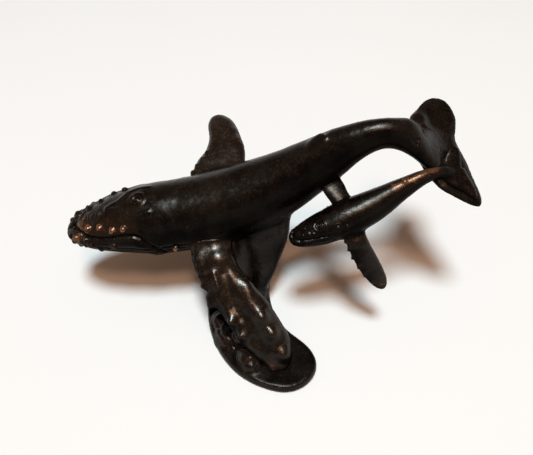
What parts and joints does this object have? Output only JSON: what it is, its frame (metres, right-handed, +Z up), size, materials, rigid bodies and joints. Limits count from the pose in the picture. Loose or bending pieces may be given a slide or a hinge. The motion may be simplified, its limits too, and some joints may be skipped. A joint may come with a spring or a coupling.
{
  "type": "whale figurine",
  "caption": "Dark bronze humpback whale with an arched tail swimming beside her calf, carried on a comma-shaped foot that rises as a wave; a free-standing ornament.",
  "frame": {"origin": "on the table under the foot, in the mother's midplane, below her mid length", "axes": "+Z up, -X towards the mother's nose, -Y towards her left side, where the calf swims"},
  "size_m": [0.1179, 0.0839, 0.0556],
  "materials": {
    "bronze": "dark brown patina, semi-gloss, rubbed to copper on the high points",
    "dowel_rod": "bare drawn rod"
  },
  "bodies": {
    "root": {"mother_body": "bronze", "mother_flukes": "bronze", "mother_left_flipper": "bronze", "mother_right_flipper": "bronze", "calf_body": "bronze", "calf_flukes": "bronze", "calf_left_flipper": "bronze", "calf_right_flipper": "bronze", "wave_foot": "bronze", "foot_studs": "dowel_rod", "mother_left_flipper_dowel": "dowel_rod", "mother_right_flipper_dowel": "dowel_rod", "mother_fluke_dowel": "dowel_rod", "calf_left_flipper_dowel": "dowel_rod", "calf_right_flipper_dowel": "dowel_rod", "calf_fluke_dowel": "dowel_rod", "calf_seat_tack": "dowel_rod", "flipper_seat_tack": "dowel_rod"}
  },
  "joints": []
}
